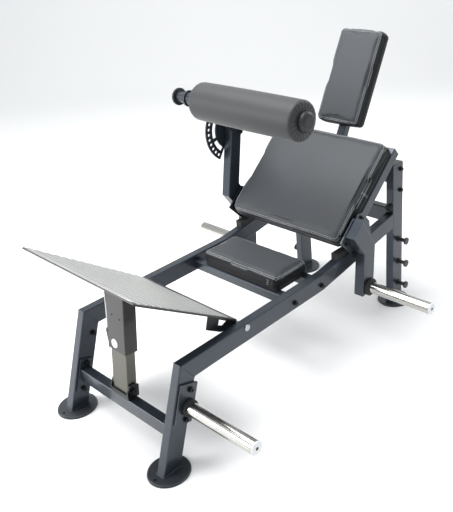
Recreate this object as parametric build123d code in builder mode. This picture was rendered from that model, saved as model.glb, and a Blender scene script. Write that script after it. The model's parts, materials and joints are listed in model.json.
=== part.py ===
from build123d import *
from math import atan2, cos, degrees, hypot, radians, sin
import os

# Hip thrust machine with a swinging back rest. Millimetres, +Z up.
# The user sits facing the front (-Y). Left and right are the user's, so left is +X.
# Side views are drawn in stations and heights: a station is measured along the machine,
# growing towards the rear, from the datum that lies DATUM_Y behind the part's origin.
# The origin is on the floor, at the middle of the part's bounding box.

# ---- driving dimensions -------------------------------------------------------------
DATUM_Y = 305.7

FRAME_X = 288.5          # middle plane of each side frame
TUBE_W = 40.0            # width of the frame tubes, across the machine
WALL = 3.0               # steel tube wall
TUBE_R = 4.0             # outer corner radius of the tubes
PLATE_T = 8.0            # steel plates and flanges
INNER_X = FRAME_X - TUBE_W / 2
OUTER_X = FRAME_X + TUBE_W / 2

RUBBER_T = 3.0           # rubber under each foot disc
DISC_T = 6.0             # steel foot disc
DISC_R = 79.0
FLOOR_T = RUBBER_T + DISC_T

LEG_FOOT = (-1128.0, -1048.5)      # front and rear stations of the leg at its foot disc
LEG_TOP = (-985.6, -932.0)         # front corner at the rail top, rear corner at the rail bottom
RAIL_TOP = 406.0
RAIL_DEPTH = 75.0
RAIL_BOTTOM = RAIL_TOP - RAIL_DEPTH
RAIL_BEND = -207.0                 # station where the rear rail starts to rise
RAIL_RISE = 8.5                    # degrees
UPRIGHT = (308.0, 388.0)           # front and rear stations of the rear upright
UPRIGHT_TOP = 718.0

BAR_C = (-1035.0, 146.0)           # middle of the front crossbar
BAR_HEIGHT = 60.0
BAR_SIZE = 40.0                    # depth of the crossbar, and the square crossmembers
BEAM = (308.0, 348.0, 433.0, 508.0)  # rear crossbeam: stations, heights

SEAT_X = 226.0
SEAT = (-410.0, -197.0)            # front and rear stations of the seat cushion
SEAT_TOP = 441.0
SEAT_PAD_T = 46.0
SEAT_BOARD_T = 15.0
SEAT_CROSS = (-395.0, -226.0)      # stations of the two seat crossmembers
SEAT_CROSS_TOP = SEAT_TOP - SEAT_PAD_T - SEAT_BOARD_T

SWING_PIVOT = (366.0, 637.0)       # shaft that the back rest swings on
SHAFT_R = 15.0
FIT = 0.05                         # radial running clearance

PAD_SLOPE = 40.5                   # degrees
PAD_DATUM = (178.5, 698.0)         # a point on the top face of the pad frame tubes
PAD_TUBE_D = 48.0
PAD_TUBE = (-322.0, 165.0)         # ends of the pad frame tubes, along the slope
PAD_TUBE_X = 318.0                 # outer face of the pad frame tubes
PAD_X = 324.0
PAD = (-353.0, 157.0)              # bottom and top of the back cushion, along the slope
PAD_BOARD_T = 14.0
PAD_T = 55.0

HEAD_FOOT = (283.0, 877.0)         # lower front edge of the head cushion
HEAD_SLOPE = 60.7
HEAD_LENGTH = 455.0
HEAD_X = 126.0
HEAD_T = 50.0
HEAD_BOARD_T = 12.0

GUSSET_T = 7.0
GUSSET_X = PAD_X + 3.5             # inner face of each gusset plate
ARM_X = GUSSET_X + GUSSET_T        # inner face of each loading arm
ARM_W = 48.0
HORN_R = 25.0                      # for plates with a 50 mm hole
HORN_LENGTH = 316.0
LOAD_HORN = (10.0, 267.0)
STORE_HORN = (-984.0, 235.0)
STORE_LENGTH = 332.0
STORE_COLLAR_R = 32.5              # clear of the two bolts of its plate

POST_W = ARM_W
ARM_PIVOT = (-12.0, 869.0)         # roller arm pivot, at the top of the post
ROLLER_AXIS = (-233.0, 1061.0)
ROLLER_R = 83.0
ROLLER = (-312.0, 268.0)           # ends of the roller cushion, across the machine
PIN_CIRCLE = 138.0
PIN_STEP = 10.0                    # degrees between the quadrant's holes
PIN_HOLES = 10
QUADRANT_T = 6.0

HINGE = (-666.0, 390.0)            # footplate hinge
PLATE_SLOPE = 35.3
PLATE = (19.0, 581.0)              # rear and front edges of the footplate, from the hinge
PLATE_X = (264.0, 337.0)           # half widths at those edges
PLATE_TOP = 15.0                   # top face above the hinge line
FOOT_T = 6.0

STRUT_FOOT = (-1027.0, 208.0)      # lower pivot of the footplate strut
STRUT_LEAN = 8.0                   # degrees from vertical
STRUT_TOP = 371.0                  # upper pivot, along the strut
INNER_TUBE = (91.0, 41.0)
SLEEVE = (105.0, 55.0)
SLEEVE_WALL = 5.0
SLEEVE_FOOT = 155.0
BOLT_R = 6.0


# ---- places ---------------------------------------------------------------------------
def side(x):
    """Sketch plane at x, facing +X, whose axes are station and height."""
    return Plane(origin=(x, DATUM_Y, 0), x_dir=(0, 1, 0), z_dir=(1, 0, 0))


def at(x, place):
    """A point of the part, from x and a (station, height) pair."""
    return (x, DATUM_Y + place[0], place[1])


def turned(origin, angle, along, up):
    """(station, height) of a point given along and above a line at an angle."""
    c, s = cos(radians(angle)), sin(radians(angle))
    return (origin[0] + along * c - up * s, origin[1] + along * s + up * c)


def measured(origin, angle, place):
    """Distances along and above a line at an angle, of a (station, height) place."""
    c, s = cos(radians(angle)), sin(radians(angle))
    run, rise = place[0] - origin[0], place[1] - origin[1]
    return (run * c + rise * s, rise * c - run * s)


def on_pad(along, up):
    return turned(PAD_DATUM, PAD_SLOPE, along, up)


def on_head(along, up):
    return turned(HEAD_FOOT, HEAD_SLOPE, along, up)


def on_plate(along, up):
    """Along the footplate from its hinge to its front edge, and above it."""
    return turned(HINGE, 180 - PLATE_SLOPE, along, -up)


def on_strut(along, out):
    """Along the strut from its foot, and out towards the front."""
    return turned(STRUT_FOOT, 90 - STRUT_LEAN, along, out)


def slope_plane(x, place, angle):
    """Plane facing +X at a place, turned so that its x axis runs at an angle."""
    return Plane(origin=at(x, place), x_dir=(0, cos(radians(angle)), sin(radians(angle))), z_dir=(1, 0, 0))


def save(part, name):
    part.label = name
    export_step(part, f"parts/{name}.step")


# ---- shapes that repeat ------------------------------------------------------------------
def tube_run(corners, x_mid, width=TUBE_W, closed_above=None):
    """Steel tube with the four given side-view corners; its ends are open, or closed above a height."""
    with BuildPart() as run:
        with BuildSketch(side(x_mid - width / 2)):
            with BuildLine():
                Polyline(*corners, close=True)
            make_face()
        extrude(amount=width)
        fillet(run.edges().sort_by(SortBy.LENGTH)[-4:], radius=TUBE_R)
        ends = run.faces().filter_by(lambda face: len(face.edges()) == 8)
        if closed_above is not None:
            ends = ends.filter_by(lambda face: face.center().Z < closed_above)
        offset(amount=-WALL, openings=ends)
    return run.part


def cross_tube(corner_plane, width, height, half_length):
    """Steel tube lying across the machine, centred on the plane's origin."""
    with BuildPart() as run:
        with BuildSketch(corner_plane):
            RectangleRounded(width, height, TUBE_R)
            RectangleRounded(width - 2 * WALL, height - 2 * WALL, TUBE_R - WALL + 0.5, mode=Mode.SUBTRACT)
        extrude(amount=half_length, both=True)
    return run.part


def side_plate(corners, x, thickness, holes=(), radius=0.0):
    """Flat plate standing in the side view, its inner face at x, with (place, radius) holes."""
    with BuildPart() as plate:
        with BuildSketch(side(x)) as outline:
            with BuildLine():
                Polyline(*corners, close=True)
            make_face()
            if radius:
                fillet(outline.vertices(), radius=radius)
            for place, hole_r in holes:
                with Locations(place):
                    Circle(hole_r, mode=Mode.SUBTRACT)
        extrude(amount=thickness)
    return plate.part


def bolt_head(x, place, out, radius=8.5, height=9.0, washer_r=12.0):
    """Socket head and washer on a face at x, pointing along out (+1 or -1)."""
    face = Plane(origin=at(x, place), x_dir=(0, 1, 0), z_dir=(out, 0, 0))
    with BuildPart() as bolt:
        with BuildSketch(face):
            Circle(washer_r)
        extrude(amount=2.0)
        with BuildSketch(face.offset(2.0)):
            Circle(radius)
        extrude(amount=height)
        with BuildSketch(face.offset(2.0 + height)):
            RegularPolygon(radius * 0.55, 6)
        extrude(amount=-height * 0.6, mode=Mode.SUBTRACT)
    return bolt.part


def cylinder(x_from, x_to, place, radius, bore=0.0, edge=0.0):
    """Round bar or tube lying across the machine between two x positions."""
    with BuildPart() as bar:
        with BuildSketch(side(x_from)):
            with Locations(place):
                Circle(radius)
                if bore:
                    Circle(bore, mode=Mode.SUBTRACT)
        extrude(amount=x_to - x_from)
        if edge:
            rims = bar.edges().filter_by(GeomType.CIRCLE).filter_by(lambda e: e.radius > radius - 0.01)
            fillet(rims, radius=edge)
    return bar.part


def cushion(plane, half_x, along, thickness, corner, edge):
    """Plain closed block of a cushion: plane origin at the middle of its lower edge, on the board."""
    with BuildPart() as pad:
        with BuildSketch(plane):
            with Locations((0, along / 2)):
                RectangleRounded(2 * half_x, along, corner)
        extrude(amount=thickness)
        fillet(pad.faces().sort_by(Axis(plane.origin, plane.z_dir))[-1].edges(), radius=edge)
    return pad.part


def mirrored_pair(part):
    return Compound(children=[part, mirror(part, about=Plane.YZ)])


def both_sides(name, part):
    save(part, name + "_left")
    save(mirror(part, about=Plane.YZ), name + "_right")


def group(parts):
    return Compound(children=list(parts))


os.makedirs("parts", exist_ok=True)

# ---- side frames --------------------------------------------------------------------------
rise = (cos(radians(RAIL_RISE)), sin(radians(RAIL_RISE)))


def risen(station, height):
    """Height on the rising rear rail of a line that leaves the bend at a height."""
    return height + (station - RAIL_BEND) * rise[1] / rise[0]


leg_foot_front, leg_foot_rear = ((station, FLOOR_T) for station in LEG_FOOT)
leg_top_front, leg_top_rear = (LEG_TOP[0], RAIL_TOP), (LEG_TOP[1], RAIL_BOTTOM)
bend_top, bend_bottom = (RAIL_BEND, RAIL_TOP), (RAIL_BEND - 6, RAIL_BOTTOM)
rail_end_top = (UPRIGHT[0], risen(UPRIGHT[0], RAIL_TOP))
rail_end_bottom = (UPRIGHT[0], risen(UPRIGHT[0], RAIL_BOTTOM))

leg = tube_run([leg_foot_front, leg_foot_rear, leg_top_rear, leg_top_front], FRAME_X)
both_sides("front_leg", leg)

with BuildPart() as seat_rail:
    add(tube_run([leg_top_front, leg_top_rear, bend_bottom, bend_top], FRAME_X))
    with BuildSketch(side(INNER_X - 1)):
        with Locations(HINGE):
            Circle(8.0)
    extrude(amount=TUBE_W + 2, mode=Mode.SUBTRACT)
both_sides("seat_rail", seat_rail.part)

rear_rail = tube_run([bend_top, bend_bottom, rail_end_bottom, rail_end_top], FRAME_X)
save(mirrored_pair(rear_rail), "rear_rails")

upright_corners = [(UPRIGHT[0], FLOOR_T), (UPRIGHT[1], FLOOR_T),
                   (UPRIGHT[1], UPRIGHT_TOP), (UPRIGHT[0], UPRIGHT_TOP)]
both_sides("rear_upright", tube_run(upright_corners, FRAME_X, closed_above=UPRIGHT_TOP / 2))

foot_stations = (sum(LEG_FOOT) / 2, sum(UPRIGHT) / 2)
foot_places = [(x, DATUM_Y + station) for x in (-FRAME_X, FRAME_X) for station in foot_stations]

with BuildPart() as foot_rubbers:
    with BuildSketch(Plane.XY):
        with Locations(*foot_places):
            Circle(DISC_R)
    extrude(amount=RUBBER_T)
save(foot_rubbers.part, "foot_rubbers")

with BuildPart() as foot_discs:
    with BuildSketch(Plane.XY.offset(RUBBER_T)):
        with Locations(*foot_places):
            Circle(DISC_R - 1)
        with Locations(*[(x, y - 62) for x, y in foot_places]):
            Circle(5.0, mode=Mode.SUBTRACT)
    extrude(amount=DISC_T)
    fillet(foot_discs.edges().group_by(Axis.Z)[-1].filter_by(lambda e: e.radius > DISC_R / 2), radius=3.0)
save(foot_discs.part, "foot_discs")

# ---- crossmembers -------------------------------------------------------------------------
leg_lean = degrees(atan2(RAIL_TOP - FLOOR_T, LEG_TOP[0] - LEG_FOOT[0]))


def on_leg(along, up):
    """Along the middle of the front leg from its foot, and up from that line towards the front."""
    return turned((foot_stations[0], FLOOR_T), leg_lean, along, up)


FLANGE = (70.0, 212.0, 28.0)       # ends along the leg and half width
flange_corners = [on_leg(FLANGE[0], FLANGE[2]), on_leg(FLANGE[0], -FLANGE[2]),
                  on_leg(FLANGE[1], -FLANGE[2]), on_leg(FLANGE[1], FLANGE[2])]
flange = side_plate(flange_corners, INNER_X - PLATE_T, PLATE_T, radius=4.0)
bar_half = INNER_X - PLATE_T
bar_plane = Plane(origin=at(0, BAR_C), x_dir=(0, 1, 0), z_dir=(1, 0, 0))
bar = cross_tube(bar_plane, BAR_SIZE, BAR_HEIGHT, bar_half)
save(group([bar, flange, mirror(flange, about=Plane.YZ)]), "front_crossbar")

beam_middle = ((BEAM[0] + BEAM[1]) / 2, (BEAM[2] + BEAM[3]) / 2)
beam_plane = Plane(origin=at(0, beam_middle), x_dir=(0, 1, 0), z_dir=(1, 0, 0))
save(cross_tube(beam_plane, BEAM[1] - BEAM[0], BEAM[3] - BEAM[2], INNER_X), "rear_crossbeam")

seat_tubes = []
for station in SEAT_CROSS:
    middle = (station, SEAT_CROSS_TOP - BAR_SIZE / 2)
    plane = Plane(origin=at(0, middle), x_dir=(0, 1, 0), z_dir=(1, 0, 0))
    seat_tubes.append(cross_tube(plane, BAR_SIZE, BAR_SIZE, INNER_X))
save(group(seat_tubes), "seat_crossmembers")

# ---- seat ---------------------------------------------------------------------------------
seat_middle = sum(SEAT) / 2
with BuildPart() as seat_board:
    with BuildSketch(Plane(origin=at(0, (seat_middle, SEAT_CROSS_TOP)))):
        RectangleRounded(2 * SEAT_X - 16, SEAT[1] - SEAT[0] - 16, 22)
    extrude(amount=SEAT_BOARD_T)
save(seat_board.part, "seat_board")

seat_plane = Plane(origin=at(0, (SEAT[0], SEAT_CROSS_TOP + SEAT_BOARD_T)))
save(cushion(seat_plane, SEAT_X, SEAT[1] - SEAT[0], SEAT_PAD_T, 28, 8), "seat_cushion")

# ---- plate storage at the front legs ---------------------------------------------------------
store_holder = [on_leg(188, 30), on_leg(188, -47), on_leg(339, -47), on_leg(339, 30)]
store_plate = side_plate(store_holder, OUTER_X, PLATE_T, radius=3.0)
save(mirrored_pair(store_plate), "storage_plates")

store_x = OUTER_X + PLATE_T
save(mirrored_pair(cylinder(store_x, store_x + 16, STORE_HORN, STORE_COLLAR_R, edge=3)), "storage_collars")
save(cylinder(store_x + 16, store_x + STORE_LENGTH - 8, STORE_HORN, HORN_R, HORN_R - WALL), "storage_horn")
store_tip = store_x + STORE_LENGTH
save(cylinder(store_tip - 8, store_tip, STORE_HORN, HORN_R, edge=3.5), "storage_horn_cap")

# ---- back rest bearings, stops, pegs ------------------------------------------------------------
BEARING_BOLT = 51.5
bearing_face = INNER_X
bearing_bolts = [(SWING_PIVOT[0], SWING_PIVOT[1] + up) for up in (BEARING_BOLT, -BEARING_BOLT)]
with BuildPart() as bearing:
    with BuildSketch(side(bearing_face - 14)):
        with Locations(SWING_PIVOT):
            Circle(36)
        with Locations(*bearing_bolts):
            Circle(19)
        make_hull()
    extrude(amount=14)
    with BuildSketch(side(bearing_face - 31)):
        with Locations(SWING_PIVOT):
            Circle(29)
    extrude(amount=17)
    with BuildSketch(side(bearing_face - 31)):
        with Locations(SWING_PIVOT):
            Circle(SHAFT_R + FIT)
    extrude(amount=31, mode=Mode.SUBTRACT)
save(mirrored_pair(bearing.part), "pivot_bearings")

STOP = (-110.0, -12.0)             # stations of the rubber stops on the rails
pad_tube_low = on_pad(PAD_TUBE[0], -PAD_TUBE_D)
stop_top = pad_tube_low[1] - 0.4
stop_corners = [(STOP[0], risen(STOP[0], RAIL_TOP)), (STOP[1], risen(STOP[1], RAIL_TOP)),
                (STOP[1], stop_top), (STOP[0], stop_top)]
save(mirrored_pair(side_plate(stop_corners, INNER_X + 3, TUBE_W - 6)), "stop_blocks")

BUMPER_HEIGHT = 512.0
with BuildPart() as bumpers:
    with BuildSketch(Plane(origin=at(0, (UPRIGHT[0], 0)), x_dir=(1, 0, 0), z_dir=(0, -1, 0))):
        with Locations((FRAME_X, BUMPER_HEIGHT), (-FRAME_X, BUMPER_HEIGHT)):
            Circle(17)
    extrude(amount=14)
    fillet(bumpers.edges().group_by(Axis.Y)[0], radius=4)
save(bumpers.part, "rear_bumpers")

PEG_STATION = 357.0
PEG_HEIGHTS = (98.0, 216.0, 336.0)
pegs = []
for height in PEG_HEIGHTS:
    place = (PEG_STATION, height)
    with BuildPart() as peg:
        with BuildSketch(side(OUTER_X)):
            with Locations(place):
                Circle(9)
        extrude(amount=38)
        with BuildSketch(side(OUTER_X)):
            with Locations(place):
                Circle(15)
        extrude(amount=5)
        with BuildSketch(side(OUTER_X + 38)):
            with Locations(place):
                Circle(17)
        extrude(amount=8)
    pegs.append(mirrored_pair(peg.part))
save(group(pegs), "band_pegs")

# ---- bolts of the fixed frame ---------------------------------------------------------------------
rail_bolts = [(station, SEAT_CROSS_TOP - BAR_SIZE / 2) for station in SEAT_CROSS]
store_bolts = [on_leg(203, -17), on_leg(316, -17)]
flange_bolts = [on_leg(84, 0), on_leg(196, 0)]
frame_bolts = [bolt_head(OUTER_X, place, 1) for place in bearing_bolts + rail_bolts]
frame_bolts += [bolt_head(OUTER_X + PLATE_T, place, 1) for place in store_bolts]
frame_bolts += [bolt_head(INNER_X - PLATE_T, place, -1) for place in flange_bolts]
frame_bolts += [bolt_head(INNER_X, store_bolts[1], -1)]
frame_bolts += [bolt_head(INNER_X - 14, place, -1) for place in bearing_bolts]
save(group([mirrored_pair(bolt) for bolt in frame_bolts]), "frame_bolts")

# ---- footplate -----------------------------------------------------------------------------------
plate_top = Plane(origin=at(0, on_plate(0, PLATE_TOP)), x_dir=(1, 0, 0),
                  z_dir=(0, sin(radians(PLATE_SLOPE)), cos(radians(PLATE_SLOPE))))
with BuildPart() as foot_plate:
    with BuildSketch(plate_top) as plate_outline:
        with BuildLine():
            Polyline((-PLATE_X[0], -PLATE[0]), (PLATE_X[0], -PLATE[0]),
                     (PLATE_X[1], -PLATE[1]), (-PLATE_X[1], -PLATE[1]), close=True)
        make_face()
        fillet(plate_outline.vertices().group_by(Axis.Y)[0], radius=14)
    extrude(amount=-FOOT_T)
save(foot_plate.part, "foot_plate")

PLATE_UNDER = PLATE_TOP - FOOT_T
HINGE_PIN_R = 8.0
BRACKET_X = 250.0
bracket_corners = [on_plate(22, PLATE_UNDER), on_plate(165, PLATE_UNDER), on_plate(148, -46),
                   on_plate(72, -44), on_plate(2, -15), on_plate(-13, -6), on_plate(-10, 8)]
bracket_window = [on_plate(58, 0), on_plate(104, 0), on_plate(98, -22), on_plate(72, -20)]
with BuildPart() as bracket:
    add(side_plate(bracket_corners, BRACKET_X, FOOT_T, holes=[(HINGE, HINGE_PIN_R + FIT)]))
    with BuildSketch(side(BRACKET_X)):
        with BuildLine():
            Polyline(*bracket_window, close=True)
        make_face()
    extrude(amount=FOOT_T, mode=Mode.SUBTRACT)
strut_pin = on_strut(STRUT_TOP, 0)
CHEEK_X = SLEEVE[0] / 2 + 4
cheek_u, cheek_under = measured(HINGE, 180 - PLATE_SLOPE, strut_pin)
cheek_corners = [on_plate(cheek_u - 34, PLATE_UNDER), on_plate(cheek_u + 34, PLATE_UNDER),
                 on_plate(cheek_u + 14, -cheek_under - 16), on_plate(cheek_u - 14, -cheek_under - 16)]
cheek = side_plate(cheek_corners, CHEEK_X, FOOT_T, holes=[(strut_pin, BOLT_R)])
strut_bar = cylinder(-CHEEK_X - FOOT_T - 4, CHEEK_X + FOOT_T + 4, strut_pin, BOLT_R, edge=1.0)
save(group([mirrored_pair(bracket.part), mirrored_pair(cheek), strut_bar]), "foot_plate_brackets")

with BuildPart() as hinge_pin:
    add(cylinder(BRACKET_X - 6, OUTER_X, HINGE, HINGE_PIN_R))
    add(cylinder(OUTER_X, OUTER_X + 4, HINGE, 13, edge=1.5))
save(mirrored_pair(hinge_pin.part), "foot_plate_hinge_pins")

# ---- footplate strut ----------------------------------------------------------------------------
CLEVIS_X = INNER_TUBE[0] / 2 + 1.0
WEB_HEIGHT = 22.0                  # low web between the clevis lugs, in front of the strut
bar_top = BAR_C[1] + BAR_HEIGHT / 2
clevis_lug = [(STRUT_FOOT[0] - 28, bar_top), (STRUT_FOOT[0] + 20, bar_top),
              (STRUT_FOOT[0] + 26, STRUT_FOOT[1] + 14),
              (STRUT_FOOT[0] + 12, STRUT_FOOT[1] + 26), (STRUT_FOOT[0] - 12, STRUT_FOOT[1] + 26),
              (STRUT_FOOT[0] - 28, STRUT_FOOT[1])]
lug = side_plate(clevis_lug, CLEVIS_X, FOOT_T, holes=[(STRUT_FOOT, BOLT_R)])
with BuildPart() as clevis:
    add(lug)
    add(mirror(lug, about=Plane.YZ))
    with BuildSketch(Plane(origin=at(0, (STRUT_FOOT[0] - 4, bar_top)))):
        Rectangle(2 * (CLEVIS_X + 0.5), 46)
    extrude(amount=4)
    with BuildSketch(Plane(origin=at(0, (STRUT_FOOT[0] - 26, bar_top)))):
        Rectangle(2 * (CLEVIS_X + 0.5), 4)
    extrude(amount=WEB_HEIGHT)
strut_bolt_end = CLEVIS_X + FOOT_T
with BuildPart() as strut_bolt:
    add(cylinder(-strut_bolt_end, strut_bolt_end, STRUT_FOOT, BOLT_R))
    add(bolt_head(strut_bolt_end, STRUT_FOOT, 1))
    add(bolt_head(-strut_bolt_end, STRUT_FOOT, -1))
save(group([clevis.part, strut_bolt.part]), "strut_clevis")

strut_dir = Vector(0, sin(radians(STRUT_LEAN)), cos(radians(STRUT_LEAN)))
strut_foot = Plane(origin=at(0, STRUT_FOOT), x_dir=(1, 0, 0), z_dir=strut_dir)
INNER_ENDS = (-16.0, 245.0)
with BuildPart() as inner_tube:
    with BuildSketch(strut_foot.offset(INNER_ENDS[0])):
        RectangleRounded(*INNER_TUBE, TUBE_R)
        RectangleRounded(INNER_TUBE[0] - 2 * WALL, INNER_TUBE[1] - 2 * WALL, TUBE_R / 2, mode=Mode.SUBTRACT)
    extrude(amount=INNER_ENDS[1] - INNER_ENDS[0])
    with BuildSketch(side(-INNER_TUBE[0])):
        with Locations(STRUT_FOOT):
            Circle(BOLT_R + FIT)
    extrude(amount=2 * INNER_TUBE[0], mode=Mode.SUBTRACT)
save(inner_tube.part, "strut_inner_tube")

SLEEVE_TOP = STRUT_TOP + 12
PIN_PLAY = 4.0                     # the sleeve's hole is this much larger than the pin, in radius
with BuildPart() as sleeve:
    with BuildSketch(strut_foot.offset(SLEEVE_FOOT)):
        RectangleRounded(*SLEEVE, TUBE_R)
        RectangleRounded(SLEEVE[0] - 2 * SLEEVE_WALL, SLEEVE[1] - 2 * SLEEVE_WALL, TUBE_R / 2, mode=Mode.SUBTRACT)
    extrude(amount=SLEEVE_TOP - SLEEVE_FOOT)
    with BuildSketch(side(-SLEEVE[0])):
        with Locations(strut_pin):
            Circle(BOLT_R + PIN_PLAY)
    extrude(amount=2 * SLEEVE[0], mode=Mode.SUBTRACT)
save(sleeve.part, "strut_sleeve")

# ---- release lever on the sleeve's right side -----------------------------------------------------
LEVER = (SLEEVE_FOOT + 62, 150.0)    # pivot along the strut, length above it
LEVER_X = -SLEEVE[0] / 2 - 10
LEVER_OUT = 14.0
LEVER_PIN_R = 3.0
lever_axis = Plane(origin=at(LEVER_X + 2, on_strut(LEVER[0], LEVER_OUT)), x_dir=(1, 0, 0),
                   z_dir=(0, -cos(radians(STRUT_LEAN)), sin(radians(STRUT_LEAN))))
with BuildPart() as lever_mount:
    with BuildSketch(lever_axis.offset(-9)) as mount_outline:
        with BuildLine():
            Polyline((8, -40), (8, 14), (-6, 8), (-6, -8), (2, -40), close=True)
        make_face()
    extrude(amount=18)
    with BuildSketch(lever_axis.offset(-6)):
        with Locations((-5, 0)):
            Rectangle(18, 100)
    extrude(amount=12, mode=Mode.SUBTRACT)
    with BuildSketch(lever_axis.offset(-12)):
        Circle(LEVER_PIN_R)
    extrude(amount=24)
save(lever_mount.part, "lever_mount")

with BuildPart() as lever:
    with BuildSketch(lever_axis.offset(-5.5)):
        with BuildLine():
            Polyline((-5, -18), (-1, -18), (3.5, 0), (3.5, 16), (-6, LEVER[1] - 20), (-8, LEVER[1]),
                     (-13, LEVER[1]), (-11, LEVER[1] - 22), (-4.5, 16), (-5, 0), close=True)
        make_face()
        Circle(LEVER_PIN_R + FIT, mode=Mode.SUBTRACT)
    extrude(amount=11)
save(lever.part, "release_lever")

# ---- swinging back rest: frame ---------------------------------------------------------------------
pad_tube = [on_pad(PAD_TUBE[0], 0), on_pad(PAD_TUBE[0], -PAD_TUBE_D),
            on_pad(PAD_TUBE[1], -PAD_TUBE_D), on_pad(PAD_TUBE[1], 0)]
save(mirrored_pair(tube_run(pad_tube, PAD_TUBE_X - TUBE_W / 2)), "pad_frame_tubes")

PAD_CROSS = (-300.0, 138.0)
cross_x = PAD_TUBE_X - TUBE_W
pad_cross = [cross_tube(slope_plane(0, on_pad(along, -PAD_TUBE_D / 2), PAD_SLOPE), BAR_SIZE, BAR_SIZE, cross_x)
             for along in PAD_CROSS]
save(group(pad_cross), "pad_frame_crossmembers")

pivot_u, pivot_n = measured(PAD_DATUM, PAD_SLOPE, SWING_PIVOT)
LUG_X = 200.0
cross_under = -PAD_TUBE_D / 2 - BAR_SIZE / 2
lug_corners = [on_pad(PAD_CROSS[1] - 22, cross_under), on_pad(PAD_CROSS[1] + 22, cross_under),
               on_pad(pivot_u + 30, pivot_n), on_pad(pivot_u + 14, pivot_n - 28),
               on_pad(pivot_u - 14, pivot_n - 28), on_pad(pivot_u - 30, pivot_n)]
lug = side_plate(lug_corners, LUG_X, PLATE_T, holes=[(SWING_PIVOT, SHAFT_R)])
save(mirrored_pair(lug), "swing_lugs")
save(cylinder(-INNER_X + 1, INNER_X - 1, SWING_PIVOT, SHAFT_R, edge=1.5), "swing_shaft")

gusset_corners = [on_pad(-342, -86), on_pad(-347, 56), on_pad(-222, 56), on_pad(-222, 48),
                  on_pad(-212, 38), on_pad(-190, 38), on_pad(-172, 20),
                  on_pad(-172, -PAD_TUBE_D - 6), on_pad(-232, -150), on_pad(-300, -150)]
gusset = side_plate(gusset_corners, GUSSET_X, GUSSET_T)
stand_off = side_plate([on_pad(PAD_TUBE[0], -1), on_pad(PAD_TUBE[0], 1 - PAD_TUBE_D),
                        on_pad(-176, 1 - PAD_TUBE_D), on_pad(-176, -1)], PAD_TUBE_X, GUSSET_X - PAD_TUBE_X)
save(group([mirrored_pair(gusset), mirrored_pair(stand_off)]), "gusset_plates")

# ---- loading arms, post, horns ------------------------------------------------------------------------
ARM_BEND = ((-21.0, 434.0), (59.0, 456.0))       # front and rear corners of the arm's bend
ARM_FOOT = ((-39.0, 237.0), (41.0, 242.0))
ARM_HEAD = ((-91.0, 536.0), (-25.0, 591.0))
POST_FOOT = ((-112.0, 567.0), (-37.0, 611.0))
POST_HEAD = ((-47.0, 905.0), (14.0, 905.0))
arm_mid = ARM_X + ARM_W / 2
lower_arm = tube_run([ARM_FOOT[0], ARM_FOOT[1], ARM_BEND[1], ARM_BEND[0]], arm_mid, ARM_W)
left_arm = tube_run([ARM_BEND[0], ARM_BEND[1], ARM_HEAD[1], ARM_HEAD[0]], arm_mid, ARM_W, closed_above=500)
right_arm = tube_run([ARM_BEND[0], ARM_BEND[1], POST_FOOT[1], POST_FOOT[0]], -arm_mid, ARM_W)
save(group([lower_arm, left_arm]), "loading_arm_left")
save(group([mirror(lower_arm, about=Plane.YZ), right_arm]), "loading_arm_right")

post_mid = -ARM_X - POST_W / 2
with BuildPart() as post:
    add(tube_run([POST_FOOT[0], POST_FOOT[1], POST_HEAD[1], POST_HEAD[0]], post_mid, POST_W, closed_above=800))
    with BuildSketch(side(-ARM_X - POST_W - 1)):
        with Locations(ARM_PIVOT):
            Circle(BOLT_R + 2)
    extrude(amount=POST_W + 2, mode=Mode.SUBTRACT)
save(post.part, "roller_post")

horn_x = ARM_X + ARM_W
collars = mirrored_pair(cylinder(horn_x, horn_x + 14, LOAD_HORN, 39, edge=3))
save(collars, "loading_horn_collars")
horn = cylinder(horn_x + 14, horn_x + HORN_LENGTH - 8, LOAD_HORN, HORN_R, HORN_R - WALL)
save(mirrored_pair(horn), "loading_horns")
horn_cap = cylinder(horn_x + HORN_LENGTH - 8, horn_x + HORN_LENGTH, LOAD_HORN, HORN_R, edge=3.5)
save(mirrored_pair(horn_cap), "loading_horn_caps")

gusset_bolts = [bolt_head(GUSSET_X + GUSSET_T, place, 1, radius=7.0, washer_r=9.0) for place in
                (on_pad(-193, 13), on_pad(-330, 21), on_pad(-334, -58))]
save(group([mirrored_pair(bolt) for bolt in gusset_bolts]), "gusset_bolts")

# ---- back and head cushions -------------------------------------------------------------------------
pad_normal = Vector(0, -sin(radians(PAD_SLOPE)), cos(radians(PAD_SLOPE)))


def pad_plane(along, up):
    return Plane(origin=at(0, on_pad(along, up)), x_dir=(1, 0, 0), z_dir=pad_normal)


pad_length = PAD[1] - PAD[0]
with BuildPart() as back_board:
    with BuildSketch(pad_plane(PAD[0] + 8, 0)):
        with Locations((0, pad_length / 2 - 8)):
            RectangleRounded(2 * PAD_X - 24, pad_length - 16, 30)
    extrude(amount=PAD_BOARD_T)
save(back_board.part, "back_board")
save(cushion(pad_plane(PAD[0], PAD_BOARD_T), PAD_X, pad_length, PAD_T, 34, 10), "back_cushion")

head_normal = Vector(0, -sin(radians(HEAD_SLOPE)), cos(radians(HEAD_SLOPE)))


def head_plane(along, up):
    return Plane(origin=at(0, on_head(along, up)), x_dir=(1, 0, 0), z_dir=head_normal)


head_back = -HEAD_T - HEAD_BOARD_T
with BuildPart() as head_board:
    with BuildSketch(head_plane(8, head_back)):
        with Locations((0, HEAD_LENGTH / 2 - 8)):
            RectangleRounded(2 * HEAD_X - 16, HEAD_LENGTH - 16, 20)
    extrude(amount=HEAD_BOARD_T)
save(head_board.part, "head_board")
save(cushion(head_plane(0, -HEAD_T), HEAD_X, HEAD_LENGTH, HEAD_T, 26, 8), "head_cushion")

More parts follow.
